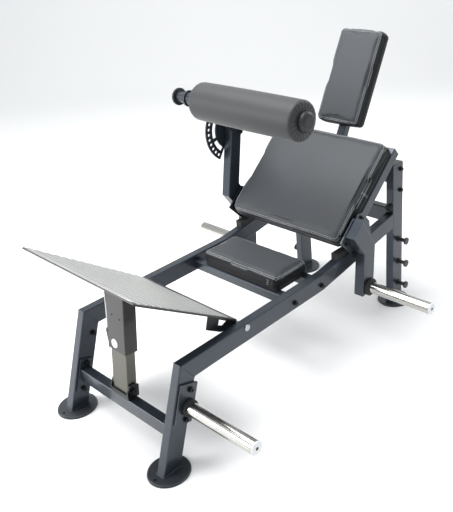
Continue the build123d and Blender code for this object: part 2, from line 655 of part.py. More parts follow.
HEAD_BEND = (-40.8, -48.0)         # front and rear corners of the support's bend, along the head line
HEAD_TUBE_D = 40.0
bend_front = on_head(HEAD_BEND[0], head_back)
bend_rear = on_head(HEAD_BEND[1], head_back - HEAD_TUBE_D)
head_tube = [bend_front, bend_rear, on_head(330, head_back - HEAD_TUBE_D), on_head(330, head_back)]
cross_rear = PAD_CROSS[1] + BAR_SIZE / 2
cross_top = (BAR_SIZE - PAD_TUBE_D) / 2
neck = [on_pad(cross_rear, cross_top), on_pad(cross_rear, cross_top - BAR_SIZE), bend_rear, bend_front]
head_run = tube_run(head_tube, 0, closed_above=900)
save(group([head_run, side_plate(neck, -TUBE_W / 2, TUBE_W)]), "head_support")

# ---- quadrant on the post ------------------------------------------------------------------------------
arm_angle = degrees(atan2(ROLLER_AXIS[1] - ARM_PIVOT[1], ROLLER_AXIS[0] - ARM_PIVOT[0]))
arm_length = hypot(ROLLER_AXIS[1] - ARM_PIVOT[1], ROLLER_AXIS[0] - ARM_PIVOT[0])
QUADRANT = (96.0, 156.0, 7.0)      # web radius, outer radius, margin in degrees past the end holes
quadrant_end = arm_angle + (PIN_HOLES - 1) * PIN_STEP
hole_r = 7.0
quadrant_x = -ARM_X - POST_W - QUADRANT_T


def around(angle, radius):
    return turned(ARM_PIVOT, angle, radius, 0)


def sector(inner, outer, start, end):
    """Outline of a ring sector about the roller arm's pivot, for a sketch in the side view."""
    middle = (start + end) / 2
    ThreePointArc(around(start, outer), around(middle, outer), around(end, outer))
    Line(around(end, outer), around(end, inner))
    ThreePointArc(around(end, inner), around(middle, inner), around(start, inner))
    Line(around(start, inner), around(start, outer))


with BuildPart() as quadrant:
    with BuildSketch(side(quadrant_x)):
        with BuildLine():
            sector(30, QUADRANT[1], arm_angle - QUADRANT[2], quadrant_end + QUADRANT[2])
        make_face()
        with BuildLine():
            sector(QUADRANT[0] + 2, QUADRANT[0] + 22, arm_angle + 2, arm_angle + 52)
        make_face(mode=Mode.SUBTRACT)
        with BuildLine():
            sector(QUADRANT[0] + 2, QUADRANT[0] + 22, arm_angle + 60, quadrant_end + 1)
        make_face(mode=Mode.SUBTRACT)
        for number in range(PIN_HOLES):
            with Locations(around(arm_angle + number * PIN_STEP, PIN_CIRCLE)):
                Circle(hole_r, mode=Mode.SUBTRACT)
    extrude(amount=QUADRANT_T)
save(quadrant.part, "pin_quadrant")

# ---- roller arm -------------------------------------------------------------------------------------------
def on_arm(along, up):
    return turned(ARM_PIVOT, arm_angle, along, up)


ARM_START = 168.0                  # where the arm's tube starts, outside the quadrant
ARM_DEPTH = 50.0
CHEEK_GAP = 2.0
CHEEK_T = 6.0
boss_r = 30.0
half = ARM_DEPTH / 2
with BuildPart() as roller_arm:
    add(tube_run([on_arm(ARM_START, half), on_arm(ARM_START, -half), on_arm(arm_length - 22, -half),
                  on_arm(arm_length - 22, half)], post_mid, POST_W))
    add(cylinder(post_mid - POST_W / 2, post_mid + POST_W / 2, ROLLER_AXIS, boss_r, 12.5))
save(roller_arm.part, "roller_arm")

cheek_outline = [on_arm(0, 26), on_arm(-18, 18), on_arm(-26, 0), on_arm(-18, -18), on_arm(0, -26),
                 on_arm(ARM_START + 45, -half + 3), on_arm(ARM_START + 45, half - 3)]
inner_cheek_x = -ARM_X + 1.0
outer_cheek_x = quadrant_x - CHEEK_GAP - CHEEK_T
pivot_hole = (ARM_PIVOT, BOLT_R + 2 + FIT)
inner_cheek = side_plate(cheek_outline, inner_cheek_x, CHEEK_T, holes=[pivot_hole])
outer_cheek = side_plate(cheek_outline, outer_cheek_x, CHEEK_T,
                         holes=[pivot_hole, (on_arm(PIN_CIRCLE, 0), BOLT_R + 0.3)])
tube_side = [on_arm(ARM_START, half - 4), on_arm(ARM_START, -half + 4), on_arm(ARM_START + 44, -half + 4),
             on_arm(ARM_START + 44, half - 4)]
outer_spacer = side_plate(tube_side, outer_cheek_x + CHEEK_T, QUADRANT_T + CHEEK_GAP)
inner_spacer = side_plate(tube_side, -ARM_X, 1.0)
save(group([inner_cheek, outer_cheek, outer_spacer, inner_spacer]), "roller_arm_cheeks")

arm_pin = cylinder(outer_cheek_x - 5, inner_cheek_x + CHEEK_T + 4, ARM_PIVOT, BOLT_R + 2)
arm_pin_heads = [cylinder(inner_cheek_x + CHEEK_T + 1, inner_cheek_x + CHEEK_T + 9, ARM_PIVOT, 14, edge=2),
                 cylinder(outer_cheek_x - 9, outer_cheek_x - 1, ARM_PIVOT, 14, edge=2)]
with BuildPart() as arm_pivot_pin:
    add(arm_pin)
    add(arm_pin_heads)
save(arm_pivot_pin.part, "roller_arm_pivot_pin")

pin_place = on_arm(PIN_CIRCLE, 0)
HOUSING = 26.0
housing = cylinder(outer_cheek_x - HOUSING, outer_cheek_x, pin_place, 12, BOLT_R + 0.3, edge=0)
save(housing, "lock_pin_housing")
PIN_TRAVEL = 8.0                   # the pin is drawn out by this much, its tip clear of the quadrant
KNOB = 29.0
knob_x = outer_cheek_x - HOUSING - 1 - PIN_TRAVEL
with BuildPart() as lock_pin:
    add(cylinder(knob_x - 3, quadrant_x - 1, pin_place, BOLT_R))
    add(cylinder(knob_x - KNOB, knob_x, pin_place, 16, edge=5))
save(lock_pin.part, "lock_pin")

# ---- roller ----------------------------------------------------------------------------------------------
AXLE_R = 12.5
axle_out = post_mid - POST_W / 2
with BuildPart() as axle:
    add(cylinder(axle_out - 70, ROLLER[1] + 6, ROLLER_AXIS, AXLE_R, edge=1))
save(axle.part, "roller_axle")
flanges = [cylinder(axle_out - 68, axle_out, ROLLER_AXIS, 24, AXLE_R),
           cylinder(axle_out - 76, axle_out - 68, ROLLER_AXIS, 38, AXLE_R, edge=0),
           cylinder(axle_out - 10, axle_out, ROLLER_AXIS, 36, 24)]
save(group(flanges), "roller_hub_sleeve")
CORE_R = 20.0
save(cylinder(ROLLER[0], ROLLER[1] - 2, ROLLER_AXIS, CORE_R, AXLE_R + FIT), "roller_core")
save(cylinder(ROLLER[0] + 2, ROLLER[1] - 4, ROLLER_AXIS, ROLLER_R, CORE_R, edge=14), "roller_cushion")
with BuildPart() as end_cap:
    with BuildSketch(side(ROLLER[1] - 2)):
        with Locations(ROLLER_AXIS):
            Circle(42)
    extrude(amount=26)
    fillet(end_cap.edges().group_by(Axis.X)[-1], radius=20)
    with BuildSketch(side(ROLLER[1] - 2)):
        with Locations(ROLLER_AXIS):
            Circle(AXLE_R + FIT)
    extrude(amount=8.5, mode=Mode.SUBTRACT)
save(end_cap.part, "roller_end_cap")
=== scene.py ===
import json
from math import cos, pi, radians, sin, tau

import bmesh
import bpy
from mathutils import Matrix, Vector
from mathutils.bvhtree import BVHTree


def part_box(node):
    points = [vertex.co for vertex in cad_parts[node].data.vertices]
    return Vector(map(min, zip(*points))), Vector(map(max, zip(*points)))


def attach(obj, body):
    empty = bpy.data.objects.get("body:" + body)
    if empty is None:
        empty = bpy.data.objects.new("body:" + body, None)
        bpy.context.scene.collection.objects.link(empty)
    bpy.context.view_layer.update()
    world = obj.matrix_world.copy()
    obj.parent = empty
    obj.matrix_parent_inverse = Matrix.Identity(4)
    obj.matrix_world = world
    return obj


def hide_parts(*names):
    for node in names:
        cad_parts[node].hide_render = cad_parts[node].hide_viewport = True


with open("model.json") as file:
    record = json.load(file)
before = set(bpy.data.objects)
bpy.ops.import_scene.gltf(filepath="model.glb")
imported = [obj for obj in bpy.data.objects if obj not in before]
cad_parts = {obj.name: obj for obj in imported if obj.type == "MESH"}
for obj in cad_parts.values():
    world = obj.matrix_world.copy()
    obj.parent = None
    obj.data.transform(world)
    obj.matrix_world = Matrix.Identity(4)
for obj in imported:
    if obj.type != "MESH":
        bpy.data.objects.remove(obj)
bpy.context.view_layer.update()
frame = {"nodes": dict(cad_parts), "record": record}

# Hip thrust machine. Metres, +Z up. The user faces -Y and the user's left is +X.
NODES = frame["nodes"]
SCENE = bpy.context.scene

PAD_SLOPE = 40.5        # degrees, back pad
HEAD_SLOPE = 60.7       # degrees, head pad
PLATE_SLOPE = 35.3      # degrees, footplate, falling towards the rear
STRUT_LEAN = 8.0        # degrees from vertical


# ---- materials --------------------------------------------------------------------------
def material(name, colour, roughness, metallic=0.0, coat=0.0, variation=0.12, scale=60.0, bump=0.1,
             depth=0.0003, rough_spread=0.06, stretch=(1, 1, 1)):
    """Principled material with procedural colour variation, roughness variation and bump."""
    made = bpy.data.materials.new(name)
    made.use_nodes = True
    nodes, links = made.node_tree.nodes, made.node_tree.links
    shader = nodes["Principled BSDF"]
    shader.inputs["Metallic"].default_value = metallic
    shader.inputs["Coat Weight"].default_value = coat
    place = nodes.new("ShaderNodeTexCoord")
    mapping = nodes.new("ShaderNodeMapping")
    mapping.inputs["Scale"].default_value = stretch
    links.new(place.outputs["Object"], mapping.inputs["Vector"])
    cloud = nodes.new("ShaderNodeTexNoise")
    cloud.inputs["Scale"].default_value = 5.0
    cloud.inputs["Detail"].default_value = 4.0
    links.new(mapping.outputs["Vector"], cloud.inputs["Vector"])
    tint = nodes.new("ShaderNodeMix")
    tint.data_type = "RGBA"
    tint.inputs[6].default_value = (*[c * (1 - variation) for c in colour], 1)
    tint.inputs[7].default_value = (*[min(1, c * (1 + variation)) for c in colour], 1)
    links.new(cloud.outputs["Fac"], tint.inputs[0])
    links.new(tint.outputs[2], shader.inputs["Base Color"])
    grain = nodes.new("ShaderNodeTexNoise")
    grain.inputs["Scale"].default_value = scale
    grain.inputs["Detail"].default_value = 3.0
    links.new(mapping.outputs["Vector"], grain.inputs["Vector"])
    spread = nodes.new("ShaderNodeMapRange")
    spread.inputs["To Min"].default_value = roughness - rough_spread
    spread.inputs["To Max"].default_value = roughness + rough_spread
    links.new(grain.outputs["Fac"], spread.inputs["Value"])
    links.new(spread.outputs["Result"], shader.inputs["Roughness"])
    relief = nodes.new("ShaderNodeBump")
    relief.inputs["Strength"].default_value = bump
    relief.inputs["Distance"].default_value = depth
    links.new(grain.outputs["Fac"], relief.inputs["Height"])
    links.new(relief.outputs["Normal"], shader.inputs["Normal"])
    return made


def leather(name, colour, specular=0.5, sheen=0.15):
    """Fine-grained leatherette: small cells for the grain over a soft colour cloud."""
    made = material(name, colour, 0.56, variation=0.15, scale=500.0, bump=0.25, rough_spread=0.05)
    nodes, links = made.node_tree.nodes, made.node_tree.links
    cells = nodes.new("ShaderNodeTexVoronoi")
    cells.inputs["Scale"].default_value = 420.0
    place = next(n for n in nodes if n.type == "MAPPING")
    links.new(place.outputs["Vector"], cells.inputs["Vector"])
    relief = nodes.new("ShaderNodeBump")
    relief.inputs["Strength"].default_value = 0.28
    relief.inputs["Distance"].default_value = 0.0004
    first = next(n for n in nodes if n.type == "BUMP")
    links.new(cells.outputs["Distance"], relief.inputs["Height"])
    links.new(first.outputs["Normal"], relief.inputs["Normal"])
    links.new(relief.outputs["Normal"], nodes["Principled BSDF"].inputs["Normal"])
    nodes["Principled BSDF"].inputs["Specular IOR Level"].default_value = specular
    nodes["Principled BSDF"].inputs["Sheen Weight"].default_value = sheen
    return made


PAINT = material("slate_powder_coat", (0.030, 0.039, 0.052), 0.35, metallic=0.5, coat=0.35,
                 scale=900.0, bump=0.18)
LEATHER = leather("charcoal_leatherette", (0.026, 0.030, 0.036))
# Darker copy of the cushion leatherette for the sides: painted shade on the faces turned away from the light.
SIDE_SHADE_LEATHERETTE = leather("charcoal_leatherette_side_shade", (0.009, 0.010, 0.012), specular=0.25, sheen=0.0)
ROLL = leather("roller_leatherette", (0.017, 0.019, 0.021))
THREAD = material("white_thread", (0.52, 0.54, 0.54), 0.75, scale=1500.0, bump=0.4)
BOARD = material("black_board", (0.014, 0.014, 0.015), 0.7, scale=200.0, bump=0.2)
BLACK_STEEL = material("black_steel", (0.016, 0.017, 0.019), 0.34, metallic=0.55, scale=400.0)
DISC = material("foot_disc_paint", (0.040, 0.045, 0.053), 0.38, metallic=0.5, coat=0.2, scale=700.0)
RUBBER = material("black_rubber", (0.014, 0.014, 0.014), 0.72, scale=350.0, bump=0.3)
WHITE = material("white_cap", (0.74, 0.75, 0.76), 0.42, scale=300.0, variation=0.04)
PLASTIC = material("black_plastic", (0.016, 0.016, 0.017), 0.42, scale=500.0, bump=0.15)
CHROME = material("chrome", (0.52, 0.51, 0.48), 0.16, metallic=1.0, scale=120.0, bump=0.03, variation=0.05,
                  rough_spread=0.04, stretch=(8, 1, 1))
BRIGHT = material("bright_steel", (0.40, 0.41, 0.42), 0.28, metallic=1.0, scale=200.0, bump=0.05,
                  variation=0.06)
BRUSHED = material("brushed_steel", (0.125, 0.123, 0.107), 0.36, metallic=1.0, scale=260.0, bump=0.15,
                   variation=0.1, stretch=(1, 1, 0.03))
SLEEVE = material("sleeve_paint", (0.036, 0.036, 0.034), 0.38, metallic=0.5, coat=0.2, scale=700.0)
PLATE = material("silver_tread", (0.42, 0.42, 0.41), 0.38, metallic=0.7, scale=500.0, bump=0.15,
                 variation=0.1)
# Dark colour for the silver tread plate between its ribs: painted shade in the grooves.
GROOVE_SHADE = material("tread_groove_painted_shade", (0.045, 0.045, 0.045), 0.45, metallic=0.6, scale=500.0, bump=0.15,
                  variation=0.1)
WELD = material("weld_bead", (0.048, 0.060, 0.078), 0.42, metallic=0.45, scale=800.0, bump=0.4)

FINISH = {"painted_frame": PAINT, "leatherette": LEATHER, "black_board": BOARD, "black_steel": BLACK_STEEL,
          "black_rubber": RUBBER, "white_plastic": WHITE, "black_plastic": PLASTIC, "bright_steel": BRIGHT,
          "brushed_steel": BRUSHED, "grey_sleeve": SLEEVE, "silver_plate": PLATE}
# foot_plate takes the dark groove colour: painted shade between the silver ribs.
SPECIAL = {"foot_discs": DISC, "roller_hub_sleeve": DISC, "foot_plate": GROOVE_SHADE, "loading_horns": CHROME,
           "storage_horn": CHROME, "foot_plate_brackets": BLACK_STEEL, "lever_mount": BLACK_STEEL,
           "swing_shaft": BLACK_STEEL}
SLOT = {part["node"]: part["material_slot"] for part in frame["record"]["subparts"]}
for node, thing in NODES.items():
    finish = SPECIAL.get(node, FINISH[SLOT[node]])
    if not thing.material_slots:
        thing.data.materials.append(finish)
    for holder in thing.material_slots:
        holder.material = finish


# ---- mesh helpers -----------------------------------------------------------------------
def thing_from(name, mesh, body, finish, smooth=True):
    """A shown piece on a body, from a bmesh, with its finish."""
    data = bpy.data.meshes.new(name)
    bmesh.ops.recalc_face_normals(mesh, faces=mesh.faces)
    mesh.to_mesh(data)
    mesh.free()
    for face in data.polygons:
        face.use_smooth = smooth
    data.materials.append(finish)
    piece = bpy.data.objects.new(name, data)
    SCENE.collection.objects.link(piece)
    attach(piece, body)
    return piece


def skin(mesh, rings, closed=False):
    """Faces from each ring to the next; the ends are capped, or joined to each other when closed."""
    pairs = list(zip(rings, rings[1:])) + ([(rings[-1], rings[0])] if closed else [])
    for first, second in pairs:
        for k in range(len(first)):
            mesh.faces.new((first[k - 1], first[k], second[k], second[k - 1]))
    if not closed:
        mesh.faces.new(rings[0])
        mesh.faces.new(rings[-1])


def axes(slope):
    """Directions across, up along and out of a surface that rises towards the rear."""
    a = radians(slope)
    return Vector((1, 0, 0)), Vector((0, cos(a), sin(a))), Vector((0, -sin(a), cos(a)))


def extents(node, slope):
    """Lowest and highest values of a CAD node along the three axes of a slope."""
    spans = []
    for axis in axes(slope):
        values = [v.co.dot(axis) for v in NODES[node].data.vertices]
        spans.append((min(values), max(values)))
    return spans


def ring(half_x, half_u, corner, steps=8):
    """Points of a rounded rectangle, anticlockwise."""
    points = []
    for number, (sx, su) in enumerate(((1, 1), (-1, 1), (-1, -1), (1, -1))):
        for step in range(steps + 1):
            angle = (number + step / steps) * pi / 2
            points.append((sx * (half_x - corner) + corner * cos(angle),
                           su * (half_u - corner) + corner * sin(angle)))
    return points


def even_walk(points, spacing):
    """(point, direction) at an even spacing round a closed outline."""
    walk, left = [], 0.0
    for a, b in zip(points, points[1:] + points[:1]):
        start, end = Vector(a), Vector(b)
        length = (end - start).length
        while left < length:
            walk.append((start.lerp(end, left / length), (end - start).normalized()))
            left += spacing
        left -= length
    return walk


# ---- cushions ---------------------------------------------------------------------------
STITCH = 0.0058         # length of a stitch
STITCH_STEP = 0.0088
STITCH_R = 0.00075
STITCH_LIFT = 0.0002
SEAM_HALF = 0.0028      # half the distance between the two rows of a cross seam
CLEAR = 0.05            # how far outside a cushion the rays start that place its stitches
ROWS = (0.012, 0.0175)  # stitch rows, in from the edge of the top face
PUFF = 0.006            # how far the simulation may move a point
SAG = 0.0015            # how far it may move a point inwards
START_IN = 0.003        # how much smaller the cushion starts
CROWN = 0.005
DENT = (0.0011, 0.004)  # depth and half width of the groove under a row of stitches
SIDE_BAND = 0.004       # how near the outline a point belongs to the side
WAIST = 0.006           # share by which the sides are drawn in halfway up
PRESSURE = 4.0
FRAMES = 20


def cushion_start(spans, corner, edge):
    """Closed rounded block in local axes (x, u, n), slightly smaller than the CAD cushion."""
    half_x = (spans[0][1] - spans[0][0]) / 2 - START_IN
    half_u = (spans[1][1] - spans[1][0]) / 2 - START_IN
    deep = spans[2][1] - spans[2][0] - START_IN
    mesh = bmesh.new()
    loops = []
    levels = [(0.0, 0.0), (0.0, deep - edge)]
    levels += [(edge * (1 - cos(k * pi / 8)), deep - edge + edge * sin(k * pi / 8)) for k in range(1, 5)]
    for inset, height in levels:
        outline = ring(half_x - inset, half_u - inset, corner - inset * 0.5)
        loops.append([mesh.verts.new((x, u, height)) for x, u in outline])
    skin(mesh, loops)
    return mesh, half_x, half_u, deep


def inflate(piece, voxel):
    """Cloth simulation under pressure with the back held flat; movement is capped."""
    remesh = piece.modifiers.new("remesh", "REMESH")
    remesh.mode = "VOXEL"
    remesh.voxel_size = voxel
    apply_modifiers(piece)
    start = [v.co.copy() for v in piece.data.vertices]
    held = piece.vertex_groups.new(name="held")
    held.add([v.index for v in piece.data.vertices if v.co.z < voxel], 1.0, "REPLACE")
    cloth = piece.modifiers.new("cloth", "CLOTH")
    cloth.settings.use_pressure = True
    cloth.settings.uniform_pressure_force = PRESSURE
    cloth.settings.effector_weights.gravity = 0.0
    cloth.settings.vertex_group_mass = "held"
    cloth.settings.quality = 4
    cloth.collision_settings.use_self_collision = False
    cloth.collision_settings.use_collision = False
    cloth.point_cache.frame_start = 1
    cloth.point_cache.frame_end = FRAMES
    for number in range(1, FRAMES + 1):
        SCENE.frame_set(number)
    apply_modifiers(piece)
    SCENE.frame_set(1)
    for vertex, was in zip(piece.data.vertices, start):
        move = vertex.co - was
        inward = Vector((-was.x, -was.y, 0)).normalized()
        move -= inward * max(0.0, move.dot(inward) - SAG)
        if move.length > PUFF:
            vertex.co = was + move * (PUFF / move.length)
    ease = piece.modifiers.new("ease", "SMOOTH")
    ease.factor = 0.5
    ease.iterations = 10
    apply_modifiers(piece)


def apply_modifiers(piece):
    """Bake a piece's modifiers into its mesh."""
    shown = piece.evaluated_get(bpy.context.evaluated_depsgraph_get())
    baked = bpy.data.meshes.new_from_object(shown)
    piece.modifiers.clear()
    old, piece.data = piece.data, baked
    bpy.data.meshes.remove(old)


def outline_distance(x, u, half_x, half_u, corner):
    """How far a point is inside a rounded rectangle's edge."""
    dx, du = abs(x) - (half_x - corner), abs(u) - (half_u - corner)
    if dx > 0 and du > 0:
        return corner - (dx * dx + du * du) ** 0.5
    return corner - max(dx, du)


def shape_cushion(piece, half_x, half_u, deep, corner):
    """Crown, grooves under the stitches and a slight waist halfway up the sides."""
    for vertex in piece.data.vertices:
        x, u, n = vertex.co
        inside = outline_distance(x, u, half_x, half_u, corner)
        if n > deep * 0.6:
            rise = max(0.0, 1 - (x / half_x) ** 4) * max(0.0, 1 - (u / half_u) ** 4)
            n += CROWN * rise ** 0.5
            for row in ROWS:
                n -= DENT[0] * max(0.0, 1 - abs(inside - row) / DENT[1])
        middle = 1 - abs(2 * n / deep - 1)
        pull = 1
        if inside < SIDE_BAND:
            pull -= WAIST * max(0.0, middle) * (0.5 + 0.5 * cos(2 * pi * (x / half_x)))
        vertex.co = (x * pull, u * pull, max(n, 0.0005))


def stitch_mesh(mesh, middle, along, out):
    """One small rounded stitch lying along a direction."""
    across = along.cross(out).normalized()
    rings = []
    for share, size in ((-0.5, 0.45), (-0.3, 1.0), (0.3, 1.0), (0.5, 0.45)):
        centre = middle + along * (share * STITCH)
        rings.append([mesh.verts.new(centre + (across * cos(a) + out * sin(a) * 0.8) * STITCH_R * size)
                      for a in (k * tau / 6 for k in range(6))])
    skin(mesh, rings)


def make_cushion(node, body, slope, corner, edge, voxel, seam=None):
    """Upholstered cushion in place of a CAD cushion, with two rows of stitches.

    seam is a side, "front" or "left", and where along it a stitched cross seam stands."""
    spans = extents(node, slope)
    across, up_slope, out = axes(slope)
    origin = (across * sum(spans[0]) + up_slope * sum(spans[1])) / 2 + out * spans[2][0]
    mesh, half_x, half_u, deep = cushion_start(spans, corner, edge)
    name = node + "_upholstery"
    piece = thing_from(name, mesh, body, LEATHER)
    inflate(piece, voxel)
    half_x, half_u = half_x + START_IN * 0.6, half_u + START_IN * 0.6
    shape_cushion(piece, half_x, half_u, deep, corner)
    subdivide = piece.modifiers.new("subdivision", "SUBSURF")
    subdivide.levels = subdivide.render_levels = 1
    apply_modifiers(piece)
    piece.data.materials.clear()
    piece.data.materials.append(LEATHER)
    piece.data.materials.append(SIDE_SHADE_LEATHERETTE)
    # Faces turned up keep the leatherette; the rest take the darker copy, which is painted shade on the
    # sides.
    for face in piece.data.polygons:
        face.use_smooth = True
        face.material_index = 0 if face.normal.z > 0.45 else 1
    tree = BVHTree.FromPolygons([v.co for v in piece.data.vertices],
                                [p.vertices[:] for p in piece.data.polygons])
    stitches = bmesh.new()
    for row in ROWS:
        for spot, along in even_walk(ring(half_x - row, half_u - row, max(corner - row, 0.006)), STITCH_STEP):
            above = Vector((spot.x, spot.y, deep + CLEAR))
            hit, normal, _, _ = tree.ray_cast(above, Vector((0, 0, -1)))
            if hit is not None:
                flow = Vector((along.x, along.y, 0))
                flow = (flow - normal * flow.dot(normal)).normalized()
                stitch_mesh(stitches, hit + normal * STITCH_LIFT, flow, normal)
    if seam:
        side, place = seam
        for k in range(int(deep / STITCH_STEP) - 1):
            high = STITCH_STEP * (k + 1)
            for shift in (-SEAM_HALF, SEAM_HALF):
                if side == "front":
                    start, toward = Vector((place + shift, -half_u - CLEAR, high)), Vector((0, 1, 0))
                else:
                    start, toward = Vector((half_x + CLEAR, place + shift, high)), Vector((-1, 0, 0))
                hit, normal, _, _ = tree.ray_cast(start, toward)
                if hit is not None:
                    flow = Vector((0, 0, 1)) - normal * normal.z
                    stitch_mesh(stitches, hit + normal * STITCH_LIFT, flow.normalized(), normal)
    turn = Matrix((across, up_slope, out)).transposed().to_4x4()
    turn.translation = origin
    piece.data.transform(turn)
    stitches.transform(turn)
    thing_from(node + "_stitches", stitches, body, THREAD)
    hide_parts(node)
    return piece


make_cushion("back_cushion", "back_rest", PAD_SLOPE, 0.034, 0.012, 0.006, seam=("left", 0.0))
make_cushion("head_cushion", "back_rest", HEAD_SLOPE, 0.026, 0.010, 0.005)
make_cushion("seat_cushion", "frame", 0.0, 0.028, 0.010, 0.005, seam=("front", 0.17))


# ---- roller -----------------------------------------------------------------------------
PLEATS = 22
PLEAT_DEPTH = 0.0022
PLEAT_BAND = (0.058, 0.026)     # radius and half width of the gathered ring on each end
ROLLER_SWELL = 0.0016   # how much thicker the roller is at its middle
SEAM_DENT = (0.0012, 0.03, 1.45 * pi)   # depth, half width and place, in radians, of the lengthwise seam


def make_roller():
    """Padded roller turned about its axle, with gathered leatherette at both ends."""
    low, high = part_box("roller_cushion")
    core_low, core_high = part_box("roller_core")
    middle = (low + high) / 2
    radius = (high.z - low.z) / 2 - 0.002
    bore = (core_high.z - core_low.z) / 2 + 0.0003
    half = (high.x - low.x) / 2
    edge = 0.016
    profile = [(half - 0.004, bore), (half - 0.001, bore + 0.012), (half, bore + 0.026),
               (half - 0.001, radius - 0.030)]
    profile += [(half - edge + edge * cos(a), radius - edge + edge * sin(a))
                for a in (0.15, 0.5, 0.9, 1.3, pi / 2)]
    profile += [((half - edge) - share * (half - edge), radius + ROLLER_SWELL * sin(share * pi / 2))
                for share in (0.05, 0.12, 0.25, 0.45, 0.7, 1.0)]
    profile += [(-x, r) for x, r in reversed(profile[:-1])]
    steps = PLEATS * 10
    mesh = bmesh.new()
    rings = []
    for x, r in profile:
        on_end = abs(x) > half - edge * 0.9
        gather = max(0.0, 1 - abs(r - PLEAT_BAND[0]) / PLEAT_BAND[1]) if on_end else 0.0
        loop = []
        for k in range(steps):
            angle = k * tau / steps
            fold = PLEAT_DEPTH * gather * (0.5 + 0.5 * cos(PLEATS * angle + 0.6 * sin(3 * angle)))
            inward = -1 if x > 0 else 1
            off_seam = abs(angle - SEAM_DENT[2]) / SEAM_DENT[1]
            size = r - (SEAM_DENT[0] * max(0.0, 1 - off_seam) if gather == 0 else 0.0)
            loop.append(mesh.verts.new((middle.x + x + inward * fold, middle.y + size * cos(angle),
                                        middle.z + size * sin(angle))))
        rings.append(loop)
    skin(mesh, rings, closed=True)
    piece = thing_from("roller_upholstery", mesh, "roller", ROLL)
    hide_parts("roller_cushion")


make_roller()


# ---- footplate --------------------------------------------------------------------------
RIB_STEP = 0.036        # the tread has broad ribs across the machine
RIB = (0.025, 0.0028)   # width and height
LIP_R = 0.0028          # the two beads along the front edge
TREAD_MARGIN = 0.030


def bar_between(mesh, a, b, width, height, out):
    """Low ridge with sloping sides between two points."""
    along = (b - a).normalized()
    across = along.cross(out).normalized()
    corners = [(-0.5, -0.2), (0.5, -0.2), (0.28, 1.0), (-0.28, 1.0)]
    ends = [[mesh.verts.new(p + across * (s * width) + out * (h * height)) for s, h in corners]
            for p in (a, b)]
    skin(mesh, ends)


def tube_between(mesh, points, radius, sides=10, closed=False):
    """Round bead through points."""
    count = len(points)
    rings = []
    for k, point in enumerate(points):
        before = points[k - 1] if (closed or k) else point
        after = points[(k + 1) % count] if (closed or k < count - 1) else point
        along = (after - before).normalized()
        side = along.orthogonal() if abs(along.z) > 0.99 else along.cross(Vector((0, 0, 1)))
        side.normalize()
        up = side.cross(along)
        rings.append([mesh.verts.new(point + (side * cos(a) + up * sin(a)) * radius)
                      for a in (j * tau / sides for j in range(sides))])
    skin(mesh, rings, closed)


def make_tread():
    """Ribs across the footplate, and two beads along its front edge."""
    across, up_slope, out = axes(-PLATE_SLOPE)
    spans = extents("foot_plate", -PLATE_SLOPE)
    top = spans[2][1]
    front, rear = spans[1]
    values = [v.co for v in NODES["foot_plate"].data.vertices]
    half_front = spans[0][1] - 0.003
    half_rear = max(abs(v.x) for v in values if v.dot(up_slope) > rear - 0.004) - 0.003

    def point(x, along):
        return across * x + up_slope * along + out * top

    def half_at(along):
        share = (along - front) / (rear - front)
        return half_front + (half_rear - half_front) * share

    ribs = bmesh.new()
    rows = int((rear - front - 2 * TREAD_MARGIN) / RIB_STEP)
    for row in range(rows + 1):
        along = front + TREAD_MARGIN + row * RIB_STEP
        reach = half_at(along) - 0.0015
        bar_between(ribs, point(-reach, along), point(reach, along), *RIB, out)
    thing_from("foot_plate_ribs", ribs, "foot_plate", PLATE, smooth=False)
    lip = bmesh.new()
    for inset in (0.005, 0.0115):
        reach = half_front - 0.016
        line = [point(-reach + 2 * reach * k / 24, front + inset) for k in range(25)]
        tube_between(lip, line, LIP_R)
    thing_from("foot_plate_lip", lip, "foot_plate", PLATE)


make_tread()


# ---- small trim on the frame --------------------------------------------------------------
def lathe_x(mesh, x_from, out, profile, centre, steps=40):
    """Round trim about an axis across the machine: profile of (distance out, radius)."""
    rings = []
    for away, radius in profile:
        rings.append([mesh.verts.new((x_from + out * away, centre[0] + radius * cos(k * tau / steps),
                                      centre[1] + radius * sin(k * tau / steps))) for k in range(steps)])
    skin(mesh, rings)


PLUG = ((-0.0010, 0.0062), (0.0006, 0.0062), (0.0011, 0.0050), (0.0011, 0.0022))   # distance out, radius


def cap_centres():
    """A small dark plug in the middle of each horn's end cap."""
    for node, body in (("loading_horn_caps", "back_rest"), ("storage_horn_cap", "frame")):
        low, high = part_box(node)
        centre = ((low.y + high.y) / 2, (low.z + high.z) / 2)
        ends = [(high.x, 1)] + ([(low.x, -1)] if low.x < 0 else [])
        mesh = bmesh.new()
        for x, out in ends:
            lathe_x(mesh, x, out, PLUG, centre)
        thing_from(node + "_centre", mesh, body, PLASTIC)


cap_centres()


def weld_loop(mesh, points, radius=0.0026, per_step=0.0042):
    """Rippled weld bead round a closed outline."""
    path = []
    for a, b in zip(points, points[1:] + points[:1]):
        count = max(2, int((b - a).length / per_step))
        path += [a.lerp(b, k / count) for k in range(count)]
    tube_between(mesh, path, radius, sides=8, closed=True)


def foot_welds():
    """Fillet weld round the foot of each leg and upright."""
    mesh = bmesh.new()
    for node in ("front_leg_left", "front_leg_right", "rear_upright_left", "rear_upright_right"):
        low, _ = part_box(node)
        feet = [v.co for v in NODES[node].data.vertices if v.co.z < low.z + 0.001]
        y0, y1 = min(v.y for v in feet), max(v.y for v in feet)
        x0, x1 = min(v.x for v in feet), max(v.x for v in feet)
        z = low.z + 0.0012
        weld_loop(mesh, [Vector((x, y, z)) for x, y in ((x0, y0), (x1, y0), (x1, y1), (x0, y1))])
    thing_from("foot_welds", mesh, "frame", WELD)


foot_welds()


